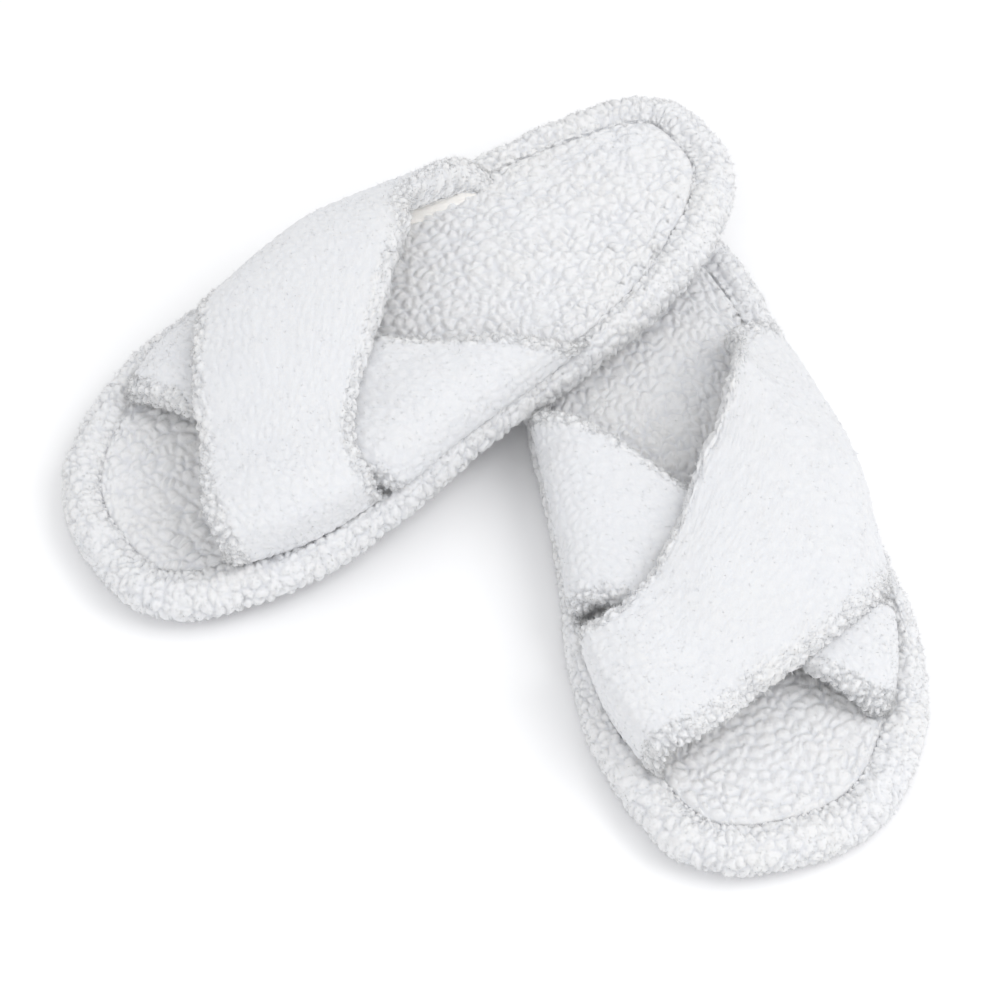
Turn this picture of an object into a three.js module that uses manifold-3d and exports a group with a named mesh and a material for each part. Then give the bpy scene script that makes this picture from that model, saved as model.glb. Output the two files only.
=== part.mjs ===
// A pair of open-toe spa slippers in sherpa fleece, with two crossing straps on each foot.
// The left slipper stands flat. The right one leans: its toe is on the floor and its heel lies on the left heel.
// Frame: millimetres, +Z up. The origin is the middle of the left outsole's lower face, +Y runs from the left
// heel to the left toe, and +X points to the inner (big toe) side of the left foot.
// Every piece is modelled once, as a left slipper, and the right slipper is its mirror image.
import * as THREE from "three";
import { LoftGeometry } from "three/addons/geometries/LoftGeometry.js";
import { mergeVertices } from "three/addons/utils/BufferGeometryUtils.js";
import Module from "manifold-3d";

const wasm = await Module();
wasm.setup();

// ---- Driving dimensions, in millimetres and degrees ----

// Plan of the sole, measured over the fleece.
const soleLength = 270;
const ballWidth = 125;
const heelWidth = 100;
const endFullness = 2.7; // superellipse exponent: 2 is an ellipse, more is squarer
const taperStart = -0.15; // share of the half length where the heel starts to widen
const taperEnd = 0.63; // share of the half length where the ball width is reached
const toeSwing = 8.2; // how far the centreline swings inwards at the toe, and outwards at the heel

// Layers of the sole, from the floor up. Glued faces keep the clearance.
const clearance = 0.3;
const outsoleThickness = 3.5;
const randFold = 1.2; // edge of the wrap, folded flat under the platform
const randFoldWidth = 12;
const platformThickness = 6;
const boardThickness = 0.8;
const sockFoamThickness = 1.2;
const sockPile = 2.6;
const randPile = 4.6; // fleece thickness on the side of the sole
const rimCrown = 1.3; // how far the rim stands above the sock
const outsoleInset = 5;

// Seam between the sock and the rim.
const seamInsetEnds = 12.6;
const seamInsetSides = 6.6;
const seamWidth = 3;
const threadRadius = 0.6;

// Tread: straight grooves across the outsole.
const grooveWidth = 3;
const grooveDepth = 1.2;
const groovePitch = 17;

// Straps.
const strapThickness = 8;
const strapFleece = 1.8;
const strapFoamThickness = 2;
const foamClearance = 1; // between the strap's foam and its lining and edges
const tabThickness = seamWidth - 4 * clearance; // strap end, squeezed into the seam
const swellStart = 1.5; // distance from the seam where a strap starts to swell from its tab
const swellRun = 8; // distance over which it reaches its full thickness
const turnUnder = 9; // cover folded round the strap's edges
const archFullness = 2.4; // superellipse exponent of the arch
const archLean = 3; // how far the top of the arch lies to the outer side
const strapGap = 0.9; // between the lower and the upper strap
const liftStart = 4.5; // distance from the seam where the upper strap starts to swing out over the lower one
const liftRun = 6; // distance over which it does so

// Where the straps are sewn in: Y of their edges on the outer and the inner side of the foot.
const strapSeats = {
  over: { rear: { outer: -63, inner: 40 }, front: { outer: 46, inner: 97 } },
  under: { rear: { outer: 50, inner: -50 }, front: { outer: 90, inner: 36 } },
};

// How the empty straps have settled on each slipper: the arch's height above the seam at the instep and
// at the toe, and the bow and the curl of each strap's edges along the foot.
const instepY = -60;
const toeY = 90;
const settled = {
  left: {
    instepHeight: 25,
    toeHeight: 14,
    over: { rear: { bow: 9, curl: -24 }, front: { bow: 12, curl: -6 } },
    under: { rear: { bow: 14, curl: 15 }, front: { bow: 6, curl: 11 } },
  },
  right: {
    instepHeight: 20,
    toeHeight: 15,
    over: { rear: { bow: 13, curl: -20 }, front: { bow: 10, curl: -8 } },
    under: { rear: { bow: 20, curl: 7 }, front: { bow: 14, curl: 3 } },
  },
};

// Pose of the right slipper.
const leanYaw = -68.6;
const leanRoll = 1;
const leanPlace = [80.3, -85.5];

// Mesh fineness.
const rimFacet = 64; // length of outline that takes four stations
const strapStations = 16;
const acrossSteps = 8;

// ---- Plan of the sole ----

const clamp = THREE.MathUtils.clamp;
const radians = THREE.MathUtils.degToRad;
const halfLength = soleLength / 2;
const smooth = (t) => THREE.MathUtils.smoothstep(t, 0, 1);
const signedPower = (value, power) => Math.sign(value) * Math.abs(value) ** power;

// Point of the outermost plan outline at an angle: 0 is the toe, counterclockwise seen from above.
function outlinePoint(angle) {
  const along = signedPower(Math.cos(angle), 2 / endFullness);
  const widening = smooth((along - taperStart) / (taperEnd - taperStart));
  const halfWidth = (heelWidth + (ballWidth - heelWidth) * widening) / 2;
  const across = -halfWidth * signedPower(Math.sin(angle), 2 / endFullness);
  return new THREE.Vector3(across + toeSwing * along ** 3, along * halfLength, 0);
}

const outlineSteps = 240;
const outline = new THREE.CatmullRomCurve3(
  Array.from({ length: outlineSteps }, (_, i) => outlinePoint((i / outlineSteps) * 2 * Math.PI)),
  true,
);
outline.arcLengthDivisions = 960;
const rimStations = 4 * Math.round(outline.getLength() / rimFacet);

// Point at a station of the outline (0 to 1), moved inwards by the inset and up to height z.
function rimPoint(station, inset, z) {
  const point = outline.getPointAt(station % 1);
  const tangent = outline.getTangentAt(station % 1);
  return new THREE.Vector3(point.x - tangent.y * inset, point.y + tangent.x * inset, z);
}

// The seam lies further in at the toe and heel than at the sides, where the straps pull on it.
function seamInset(station) {
  const along = Math.abs(outline.getPointAt(station % 1).y) / halfLength;
  const towardsEnd = clamp(along / 0.75, 0, 1) ** 2;
  return seamInsetSides + (seamInsetEnds - seamInsetSides) * towardsEnd;
}

// ---- Heights of the layers ----

const foldBottom = outsoleThickness + clearance;
const foldTop = foldBottom + randFold;
const platformBottom = foldTop + clearance;
const platformTop = platformBottom + platformThickness;
const boardBottom = platformTop + clearance;
const boardTop = boardBottom + boardThickness;
const sockFoamBottom = boardTop + clearance;
const sockFoamTop = sockFoamBottom + sockFoamThickness;
const sockBottom = sockFoamTop + clearance;
const sockTop = sockBottom + sockPile;
const rimTop = sockTop + rimCrown;
const threadHeight = platformTop + clearance + threadRadius;
const tabBottom = threadHeight + threadRadius + clearance;

// ---- Shaping helpers ----

const material = (color, roughness) => new THREE.MeshStandardMaterial({ color, roughness, metalness: 0 });
const materials = {
  fleece: material(0xeef0f2, 0.95),
  foam: material(0xf4f2ea, 0.9),
  board: material(0xd9c9a8, 0.85),
  sole: material(0xe9eaec, 0.7),
  thread: material(0xdcdee0, 0.6),
};

// A closed flat layer: levels are [height, inset] pairs from the bottom up, and inset may be a function.
function layer(levels) {
  const sections = levels.map(([z, inset]) =>
    Array.from({ length: rimStations }, (_, i) => {
      const station = i / rimStations;
      return rimPoint(station, typeof inset === "function" ? inset(station) : inset, z);
    }),
  );
  return new LoftGeometry(sections, { capStart: true, capEnd: true });
}

// A closed ring: section gives the [inset, height] loop at a station of the outline.
function ring(section) {
  const sections = Array.from({ length: rimStations + 1 }, (_, i) => {
    const station = (i % rimStations) / rimStations;
    return section(station).map(([inset, z]) => rimPoint(station, inset, z));
  });
  return new LoftGeometry(sections, { capStart: false, capEnd: false });
}

// ---- Solids for cutting ----

function solidOf(geometry) {
  const bare = new THREE.BufferGeometry();
  bare.setAttribute("position", geometry.getAttribute("position").clone());
  bare.setIndex(geometry.getIndex());
  const merged = mergeVertices(bare, 1e-4);
  return new wasm.Manifold(
    new wasm.Mesh({
      numProp: 3,
      vertProperties: new Float32Array(merged.attributes.position.array),
      triVerts: new Uint32Array(merged.index.array),
    }),
  );
}

function geometryOf(solid) {
  const mesh = solid.getMesh();
  const positions = [];
  for (let i = 0; i < mesh.numVert; i++) {
    const start = i * mesh.numProp;
    positions.push(...mesh.vertProperties.subarray(start, start + 3));
  }
  const geometry = new THREE.BufferGeometry();
  geometry.setAttribute("position", new THREE.Float32BufferAttribute(positions, 3));
  geometry.setIndex(Array.from(mesh.triVerts));
  geometry.computeVertexNormals();
  return geometry;
}

// ---- Pieces of the sole ----

// Rubber-like sheet with a rounded lower edge and grooves across it, clear of the middle rest face.
function outsole() {
  const sheet = layer([
    [0, outsoleInset + 0.8],
    [0.8, outsoleInset],
    [outsoleThickness, outsoleInset],
  ]);
  const count = Math.floor((halfLength - 2 * outsoleInset) / groovePitch);
  let solid = solidOf(sheet);
  for (let i = -count; i < count; i++) {
    const groove = new THREE.BoxGeometry(ballWidth + toeSwing * 4, grooveWidth, 2 * grooveDepth);
    groove.translate(0, (i + 0.5) * groovePitch, 0);
    solid = solid.subtract(solidOf(groove));
  }
  return geometryOf(solid);
}

const foldInset = outsoleInset - 1.6;
const platformInset = randPile + clearance;

// Thin sheet that makes the underside level inside the folded edge of the wrap.
const bottomFiller = () => {
  const inset = foldInset + randFoldWidth + clearance;
  return layer([
    [foldBottom, inset],
    [foldTop, inset],
  ]);
};

const platform = () =>
  layer([
    [platformBottom, platformInset],
    [platformTop, platformInset + 0.6],
  ]);

const insideSeam = (extra) => (station) => seamInset(station) + seamWidth + extra;

const insoleBoard = () =>
  layer([
    [boardBottom, insideSeam(clearance)],
    [boardTop, insideSeam(clearance)],
  ]);

const sockFoam = () =>
  layer([
    [sockFoamBottom, insideSeam(clearance)],
    [sockFoamTop, insideSeam(clearance)],
  ]);

// Fleece footbed, its pile rounding down to the seam.
const sock = () =>
  layer([
    [sockBottom, insideSeam(0)],
    [sockBottom + sockPile * 0.3, insideSeam(1)],
    [sockBottom + sockPile * 0.7, insideSeam(3.5)],
    [sockTop, insideSeam(7)],
  ]);

// Fleece wrap: up from the seam, over the crown of the rim, down the side and folded under the platform.
function randWrap() {
  return ring((station) => {
    const seam = seamInset(station);
    const crown = seam * 0.55 + 0.6;
    return [
      [seam, boardBottom],
      [seam, sockBottom],
      [seam - 0.9, rimTop - 1.6],
      [crown + 0.8, rimTop],
      [crown * 0.62, rimTop - 0.7],
      [crown * 0.25, rimTop - 3.6],
      [0, rimTop * 0.52],
      [0.5, rimTop * 0.34],
      [foldInset, foldBottom],
      [foldInset + randFoldWidth, foldBottom],
      [foldInset + randFoldWidth, foldTop],
      [randPile, foldTop],
      [randPile, platformTop],
      [randPile + 0.6, boardBottom],
    ];
  });
}

// Line of stitching along the bottom of the seam.
function seamThread() {
  const sides = 5;
  return ring((station) =>
    Array.from({ length: sides }, (_, k) => {
      const angle = (k / sides) * 2 * Math.PI;
      const inset = seamInset(station) + seamWidth / 2 + threadRadius * Math.cos(angle);
      return [inset, threadHeight + threadRadius * Math.sin(angle)];
    }),
  );
}

// ---- Straps ----

// X of the seam's middle line at height y of the plan, on the outer (-1) or inner (+1) side of the foot.
const seamLine = Array.from({ length: outlineSteps }, (_, i) => {
  const station = i / outlineSteps;
  return rimPoint(station, seamInset(station) + seamWidth / 2, 0);
});
function seamX(y, side) {
  for (let i = 0; i < seamLine.length; i++) {
    const from = seamLine[i];
    const to = seamLine[(i + 1) % seamLine.length];
    if (from.x * side > 0 && (from.y - y) * (to.y - y) <= 0 && from.y !== to.y) {
      return from.x + ((to.x - from.x) * (y - from.y)) / (to.y - from.y);
    }
  }
  throw new Error("a strap reaches past the end of the seam at y = " + y);
}

// Y of a strap's edge at share s of the way from its outer end to its inner end.
const edgeY = (seat, settling, s) =>
  seat.outer +
  (seat.inner - seat.outer) * s +
  settling.bow * Math.sin(Math.PI * s) +
  settling.curl * Math.sin(2 * Math.PI * s);

// Height of the arch's middle layer above the seam, which falls evenly from the instep to the toe.
const archHeight = (y, { instepHeight, toeHeight }) =>
  THREE.MathUtils.mapLinear(y, instepY, toeY, instepHeight, toeHeight);

// A strap is squeezed to its tab in the seam and swells to its full thickness above it.
const swell = (fromSeam) => smooth((fromSeam - swellStart) / swellRun);
const thicknessAt = (fromSeam) => tabThickness + (strapThickness - tabThickness) * swell(fromSeam);

// How far the upper strap stands out from the arch, so that it passes over the lower one.
const liftAt = (fromSeam) => (strapThickness + strapGap) * smooth((fromSeam - liftStart) / liftRun);

// Point of a strap: share s along it, y across it and n along the normal from its middle layer.
// The arch is a superellipse that springs from the seam on both sides.
function strapPoint(strap, s, y, n) {
  const outer = seamX(y, -1);
  const inner = seamX(y, 1);
  const halfSpan = (inner - outer) / 2;
  const height = archHeight(y, strap.settling);
  const power = 2 / archFullness;
  const cosine = Math.cos(Math.PI * s);
  const sine = Math.sin(Math.PI * s);
  const rise = Math.abs(sine) ** power;
  const run = halfSpan * (1 - Math.abs(cosine) ** power);
  const x = (outer + inner) / 2 - Math.sign(cosine) * (halfSpan - run) - archLean * rise;
  const z = tabBottom + height * rise;
  const normal = new THREE.Vector3(
    -signedPower(cosine, 2 - power) / halfSpan,
    0,
    Math.abs(sine) ** (2 - power) / height,
  ).normalize();
  const fromSeam = Math.hypot(run, height * rise);
  const lift = strap.isUpper ? liftAt(fromSeam) : 0;
  const offset = (n * thicknessAt(fromSeam)) / strapThickness + lift;
  return new THREE.Vector3(x, y, z).addScaledVector(normal, offset);
}

// A closed strip of a strap between two of its stations: loop gives [y, n] points round its section,
// clockwise seen from the inner end, for half the strap's width.
function strip(strap, fromStation, toStation, loop) {
  const { seat, edges } = strap;
  const sections = [];
  for (let i = fromStation; i <= toStation; i++) {
    const share = i / strapStations;
    const s = share - Math.sin(2 * Math.PI * share) / 12;
    const rear = edgeY(seat.rear, edges.rear, s);
    const front = edgeY(seat.front, edges.front, s);
    const points = loop((front - rear) / 2).reverse();
    sections.push(points.map(([y, n]) => strapPoint(strap, s, (rear + front) / 2 + y, n)));
  }
  return new LoftGeometry(sections, { capStart: true, capEnd: true });
}

// Points across a strap at one n, from -reach to reach. All its layers share the points between the lips
// of the cover, so that their facets lie parallel.
function across(half, reach, n) {
  const lip = half - turnUnder;
  const middle = [];
  for (let i = 1; i < acrossSteps; i++) middle.push([lip * ((2 * i) / acrossSteps - 1), n]);
  const lips = reach > lip ? [[-lip, n], ...middle, [lip, n]] : middle;
  return [[-reach, n], ...lips, [reach, n]];
}

const halfThickness = strapThickness / 2;
const coreHeight = halfThickness - strapFleece; // inner face of the cover, above the middle layer
const coreInset = strapFleece + 0.8; // inner face of the cover, from the strap's edge
const edgeRound = 0.8;

// Fleece cover: over the top, round both edges and a little way back underneath.
const strapCover = (strap) =>
  strip(strap, 0, strapStations, (half) => {
    const lip = half - turnUnder;
    const round = half - edgeRound;
    return [
      [-lip, -halfThickness],
      [-half + halfThickness, -halfThickness],
      [-round, -halfThickness * 0.6],
      [-half, 0],
      [-round, halfThickness * 0.6],
      ...across(half, half - halfThickness, halfThickness),
      [round, halfThickness * 0.6],
      [half, 0],
      [round, -halfThickness * 0.6],
      [half - halfThickness, -halfThickness],
      [lip, -halfThickness],
      [lip, -coreHeight],
      [half - coreInset, -coreHeight],
      ...across(half, half - coreInset, coreHeight).reverse(),
      [-half + coreInset, -coreHeight],
      [-lip, -coreHeight],
    ];
  });

// Foam strip, which stops short of both seams.
const foamEnd = 2; // stations
const strapFoam = (strap) =>
  strip(strap, foamEnd, strapStations - foamEnd, (half) => {
    const reach = half - coreInset - foamClearance;
    const bottom = -coreHeight + foamClearance;
    const top = bottom + strapFoamThickness;
    return [...across(half, reach, top), ...across(half, reach, bottom).reverse()];
  });

// Lining, which covers the foam between the lips of the cover.
const strapLining = (strap) =>
  strip(strap, 0, strapStations, (half) => {
    const reach = half - turnUnder - 2 * clearance;
    return [...across(half, reach, -coreHeight), ...across(half, reach, -halfThickness).reverse()];
  });

// ---- One slipper ----

function slipper(side) {
  const group = new THREE.Group();
  const settling = settled[side];
  const under = { seat: strapSeats.under, edges: settling.under, settling, isUpper: false };
  const over = { seat: strapSeats.over, edges: settling.over, settling, isUpper: true };
  const pieces = [
    ["outsole", outsole(), materials.sole],
    ["bottom_filler", bottomFiller(), materials.foam],
    ["platform", platform(), materials.foam],
    ["rand_wrap", randWrap(), materials.fleece],
    ["insole_board", insoleBoard(), materials.board],
    ["sock_foam", sockFoam(), materials.foam],
    ["sock", sock(), materials.fleece],
    ["seam_thread", seamThread(), materials.thread],
    ["under_strap_cover", strapCover(under), materials.fleece],
    ["under_strap_foam", strapFoam(under), materials.foam],
    ["under_strap_lining", strapLining(under), materials.fleece],
    ["over_strap_cover", strapCover(over), materials.fleece],
    ["over_strap_foam", strapFoam(over), materials.foam],
    ["over_strap_lining", strapLining(over), materials.fleece],
  ];
  for (const [name, geometry, finish] of pieces) {
    const mesh = new THREE.Mesh(geometry, finish);
    mesh.name = `${side}_${name}`;
    group.add(mesh);
  }
  return group;
}

// ---- Pose of the leaning slipper ----

// Turn of the right slipper: yaw on the floor, then toe-down pitch and a little roll.
function leanTurn(pitch) {
  const turn = new THREE.Euler(-pitch, radians(leanRoll), radians(leanYaw), "ZXY");
  return new THREE.Matrix4().makeRotationFromEuler(turn);
}

// Points of the sole's lower edge, and of the rim and footbed that a sole can rest on.
const stations = Array.from({ length: 4 * rimStations }, (_, i) => i / (4 * rimStations));
const lowerEdge = stations.map((station) => rimPoint(station, outsoleInset + 0.8, 0));
const crest = (station) => seamInset(station) * 0.55 + 1.4;
const upperFace = stations.flatMap((station) => [
  rimPoint(station, crest(station), rimTop),
  rimPoint(station, crest(station) * 0.62, rimTop - 0.7),
  rimPoint(station, seamInset(station) + seamWidth + 5, sockTop),
]);

// Places the mirrored slipper at a pitch, with the lowest point of its sole on the floor.
function leanMatrix(pitch) {
  const mirrored = leanTurn(pitch).multiply(new THREE.Matrix4().makeScale(-1, 1, 1));
  const lowest = Math.min(...lowerEdge.map((point) => point.clone().applyMatrix4(mirrored).z));
  return new THREE.Matrix4().makeTranslation(leanPlace[0], leanPlace[1], -lowest).multiply(mirrored);
}

// Least gap between the leaning sole's lower plane and the flat slipper's heel below it.
function heelGap(pitch) {
  const toLeaning = leanMatrix(pitch).invert();
  const local = upperFace.map((point) => point.clone().applyMatrix4(toLeaning));
  const below = local.filter(({ x, y }) => {
    const along = clamp(y / halfLength, -1, 1);
    const share = (1 - Math.abs(along) ** endFullness) ** (1 / endFullness);
    return Math.abs(y) < halfLength && Math.abs(x - toeSwing * along ** 3) < (heelWidth / 2) * share;
  });
  return Math.min(...below.map((point) => -point.z));
}

// Pitch at which the sole just clears the heel it lies on, found by halving.
function restingPitch() {
  let low = 0;
  let high = 0.3;
  for (let i = 0; i < 40; i++) {
    const middle = (low + high) / 2;
    if (heelGap(middle) < clearance) low = middle;
    else high = middle;
  }
  return high;
}

// ---- Assembly ----

const left = slipper("left");
const right = slipper("right");
right.applyMatrix4(leanMatrix(restingPitch()));

const pair = new THREE.Group();
pair.add(left, right);

export default pair;
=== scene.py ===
# %% [markdown]
# # A pair of sherpa fleece slippers
# Two open-toe slippers: the left one stands flat and the right one leans, with its heel on the left heel.
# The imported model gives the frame, and this script builds the fleece that is seen around it.
# Work is in millimetres in one slipper's own frame, as a shoemaker draws a last: +Y to the toe, +Z up and
# +X to the inner side of a left foot. Pieces are turned into metres, and into their place, at the very end.

# %% The frame
import math

import bpy
import numpy as np
from mathutils import Matrix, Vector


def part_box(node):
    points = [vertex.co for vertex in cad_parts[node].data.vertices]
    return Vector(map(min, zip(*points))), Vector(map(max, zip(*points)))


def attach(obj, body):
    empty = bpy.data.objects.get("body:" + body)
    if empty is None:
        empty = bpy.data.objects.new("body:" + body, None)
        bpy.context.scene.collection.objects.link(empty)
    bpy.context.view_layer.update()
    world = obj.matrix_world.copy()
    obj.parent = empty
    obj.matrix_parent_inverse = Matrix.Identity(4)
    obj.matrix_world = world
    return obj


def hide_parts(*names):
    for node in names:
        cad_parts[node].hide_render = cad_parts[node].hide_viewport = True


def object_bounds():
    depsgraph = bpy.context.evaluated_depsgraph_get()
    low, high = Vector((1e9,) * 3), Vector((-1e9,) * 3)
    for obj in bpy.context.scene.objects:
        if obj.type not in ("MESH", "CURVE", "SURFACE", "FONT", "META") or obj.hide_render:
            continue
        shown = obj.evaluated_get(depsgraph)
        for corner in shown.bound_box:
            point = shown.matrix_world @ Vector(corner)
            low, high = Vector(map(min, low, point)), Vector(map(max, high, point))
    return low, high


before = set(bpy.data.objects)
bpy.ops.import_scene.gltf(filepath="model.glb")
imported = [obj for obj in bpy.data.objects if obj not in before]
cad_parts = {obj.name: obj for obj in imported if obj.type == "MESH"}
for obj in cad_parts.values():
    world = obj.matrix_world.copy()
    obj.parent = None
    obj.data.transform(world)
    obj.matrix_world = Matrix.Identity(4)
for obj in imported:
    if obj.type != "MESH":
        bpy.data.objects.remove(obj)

cad_low, cad_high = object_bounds()
MM = 0.001
print("frame size in mm:", [round(v / MM) for v in cad_high - cad_low])

# %% [markdown]
# ## Where the layers lie
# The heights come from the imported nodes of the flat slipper, so the fleece lands on the layers below it.
# The plan of the sole and the seats of the straps repeat the pattern that the solid model is cut to.

# %% Heights and plan sizes
FOLD_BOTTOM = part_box("left_rand_wrap")[0].z / MM
RIM_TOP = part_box("left_rand_wrap")[1].z / MM
PLATFORM_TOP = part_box("left_platform")[1].z / MM
SOCK_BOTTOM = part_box("left_sock")[0].z / MM
SOCK_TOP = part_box("left_sock")[1].z / MM
TAB_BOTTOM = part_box("left_under_strap_cover")[0].z / MM
HALF_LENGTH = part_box("left_rand_wrap")[1].y / MM
HEEL_WIDTH, BALL_WIDTH = 100.0, 125.0
END_FULLNESS = 2.7
TAPER_START, TAPER_END = -0.15, 0.63
TOE_SWING = 8.2
SEAM_ENDS, SEAM_SIDES, SEAM_WIDTH = 12.6, 6.6, 3.0
print(f"rim {RIM_TOP:.1f}, sock {SOCK_TOP:.1f}, half length {HALF_LENGTH:.1f}")

# %% [markdown]
# ## The outline of the sole
# A superellipse whose width changes from heel to ball, with the toe swung inwards. It is measured off into
# equal steps of length, because the fleece must have the same grain all the way round.

# %% Outline of the sole


def smooth(t):
    """Smoothstep of t clipped to 0..1: three t squared minus two t cubed."""
    t = np.clip(t, 0, 1)
    return t * t * (3 - 2 * t)


def signed_power(value, power):
    """The power of a number's size, with the number's own sign."""
    return np.sign(value) * np.abs(value) ** power


def outline_table(count=4096):
    """Points of the outline at equal arc steps, counterclockwise from the toe, and its whole length."""
    angle = np.linspace(0, 2 * np.pi, 8 * count + 1)
    along = signed_power(np.cos(angle), 2 / END_FULLNESS)
    widening = smooth((along - TAPER_START) / (TAPER_END - TAPER_START))
    half_width = (HEEL_WIDTH + (BALL_WIDTH - HEEL_WIDTH) * widening) / 2
    across = -half_width * signed_power(np.sin(angle), 2 / END_FULLNESS)
    points = np.stack([across + TOE_SWING * along**3, along * HALF_LENGTH], axis=1)
    length = np.concatenate([[0], np.cumsum(np.linalg.norm(np.diff(points, axis=0), axis=1))])
    steps = np.linspace(0, length[-1], count + 1)
    return np.stack([np.interp(steps, length, points[:, k]) for k in (0, 1)], axis=1), length[-1]


OUTLINE, PERIMETER = outline_table()
turn = np.roll(OUTLINE[:-1], -6, axis=0) - np.roll(OUTLINE[:-1], 6, axis=0)
turn /= np.linalg.norm(turn, axis=1, keepdims=True)
INWARD = np.stack([-turn[:, 1], turn[:, 0]], axis=1)
INWARD = np.concatenate([INWARD, INWARD[:1]])
STATIONS = np.linspace(0, 1, len(OUTLINE))


def at_station(table, station):
    """A table of the outline read at stations from 0 to 1, which repeat all round."""
    return np.stack([np.interp(station % 1, STATIONS, table[:, k]) for k in (0, 1)], axis=-1)


def rim_point(station, inset):
    """Plan point a distance inset inside the outline."""
    return at_station(OUTLINE, station) + at_station(INWARD, station) * np.asarray(inset)[..., None]


def seam_inset(station):
    """The seam's distance from the outline: more at the toe and heel than at the sides."""
    along = np.abs(at_station(OUTLINE, station)[..., 1]) / HALF_LENGTH
    return SEAM_SIDES + (SEAM_ENDS - SEAM_SIDES) * np.clip(along / 0.75, 0, 1) ** 2


print(f"outline {PERIMETER:.0f} mm long, {np.ptp(OUTLINE[:, 0]):.0f} mm wide")

# %% [markdown]
# ## Sherpa pile
# Sherpa is a knit whose looped pile curls into nubs of 3 to 5 mm with thin crevices between them. Noise in the
# shader alone would leave the edges of the slipper smooth, and its ragged edge is what makes fleece look soft.
# So the nubs are real relief: cells grown round scattered points, each one a little pillow, with finer
# curls on top. Some crevices are almost closed, or the fleece would look like paving.

# %% Scattered cells and drifting noise
CELL_MARGIN, CELL_SPAN = 0.08, 0.84
BEND = 0.3
NUB_REACH, CURLS_PER_NUB = 0.9, 2
FLAT_SHARE, DOME_SHARE, OWN_SHARE, CURL_SHARE = 0.36, 0.56, 0.08, 0.08


def hashed(a, b, seed):
    """A repeatable random number from 0 to 1 for each pair of whole numbers: they are multiplied by large odd
    numbers, and their high bits are folded onto the low ones."""
    mixed = a.astype(np.int64) * 374761393 + b.astype(np.int64) * 668265263 + seed * 974634777
    mixed = (mixed ^ (mixed >> 13)) * 1274126177 & 0xFFFFFFFF
    mixed = (mixed ^ (mixed >> 16)) * 2246822519 & 0xFFFFFFFF
    return ((mixed ^ (mixed >> 15)) & 0xFFFFFF) / 0xFFFFFF


def cells(a, b, seed, wrap=None):
    """Distances to the nearest and second nearest of points scattered one to a unit square, and the
    nearest's own random number."""
    column, row = np.floor(a), np.floor(b)
    nearest = np.full(np.shape(a), 9.0)
    second = nearest.copy()
    own = np.zeros(np.shape(a))
    for da in (-1, 0, 1):
        for db in (-1, 0, 1):
            key = (column + da) % wrap if wrap else column + da
            away = np.hypot(
                column + da + CELL_MARGIN + CELL_SPAN * hashed(key, row + db, seed) - a,
                row + db + CELL_MARGIN + CELL_SPAN * hashed(key, row + db, seed + 1) - b,
            )
            closer = away < nearest
            second = np.where(closer, nearest, np.minimum(second, away))
            own = np.where(closer, hashed(key, row + db, seed + 2), own)
            nearest = np.where(closer, away, nearest)
    return nearest, second, own


def drift(a, b, seed, wrap=None):
    """Value noise from -1 to 1: random numbers at whole points, blended smoothly between them."""
    column, row = np.floor(a), np.floor(b)
    fa, fb = smooth(a - column), smooth(b - row)
    left, right = ((column + k) % wrap if wrap else column + k for k in (0, 1))
    low = hashed(left, row, seed) * (1 - fa) + hashed(right, row, seed) * fa
    high = hashed(left, row + 1, seed) * (1 - fa) + hashed(right, row + 1, seed) * fa
    return 2 * (low * (1 - fb) + high * fb) - 1


def pile(a, b, seed, wrap=None, crevice_width=0.55):
    """Height of sherpa pile for places a, b counted in nubs: about 0 in an open crevice and 1 on a nub. A
    crevice opens where the two nearest points are equally near, and a nub domes as one less the distance
    squared. The curls are the same crevices at half the size."""
    bend_a = a + BEND * drift(a, b, seed + 11, wrap)
    bend_b = b + BEND * drift(a, b, seed + 12, wrap)
    nearest, second, own = cells(bend_a, bend_b, seed, wrap)
    openness = np.clip(0.8 + 0.5 * drift(bend_a, bend_b, seed + 13, wrap), 0.3, 1)
    crevice = 1 - openness * (1 - smooth((second - nearest) / crevice_width))
    dome = np.clip(1 - (nearest / NUB_REACH) ** 2, 0, 1)
    fine_a, fine_b = CURLS_PER_NUB * bend_a, CURLS_PER_NUB * bend_b
    fine_near, fine_second, _ = cells(fine_a, fine_b, seed + 5, wrap and CURLS_PER_NUB * wrap)
    curl = smooth((fine_second - fine_near) / 0.8)
    return crevice * (FLAT_SHARE + DOME_SHARE * dome + OWN_SHARE * own) + CURL_SHARE * (curl - 0.5)


sample = pile(*np.meshgrid(np.linspace(0, 20, 400), np.linspace(0, 20, 400)), seed=1, crevice_width=0.3)
PILE_MEAN = sample.mean()
print(f"pile height from {sample.min():.2f} to {sample.max():.2f}, mean {sample.mean():.2f}")

# %% [markdown]
# ## From grids to meshes
# Every fleece piece is a grid of points: along and round. A grid that closes round its section and is capped at
# its ends is one closed skin, with no seams or loose edges. Its normals come from the cross product of
# the grid's two directions, and relief moves each point along its normal.

# %% Grids


def steps_of(grid, axis, wraps):
    """Central differences of a grid of points along one axis, which may close on itself."""
    if wraps:
        return (np.roll(grid, -1, axis) - np.roll(grid, 1, axis)) / 2
    return np.gradient(grid, axis=axis)


def unit(vectors):
    """Vectors divided by their own lengths."""
    return vectors / np.maximum(np.linalg.norm(vectors, axis=-1, keepdims=True), 1e-9)


def normals_of(grid, wrap_u, wrap_v):
    """Unit normals: the direction along crossed with the direction round."""
    return unit(np.cross(steps_of(grid, 0, wrap_u), steps_of(grid, 1, wrap_v)))


def length_round(grid):
    """Length run round each section of a grid of points, from its first point."""
    step = np.linalg.norm(np.diff(grid, axis=1), axis=-1)
    return np.concatenate([np.zeros((len(grid), 1)), np.cumsum(step, axis=1)], axis=1)


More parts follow.
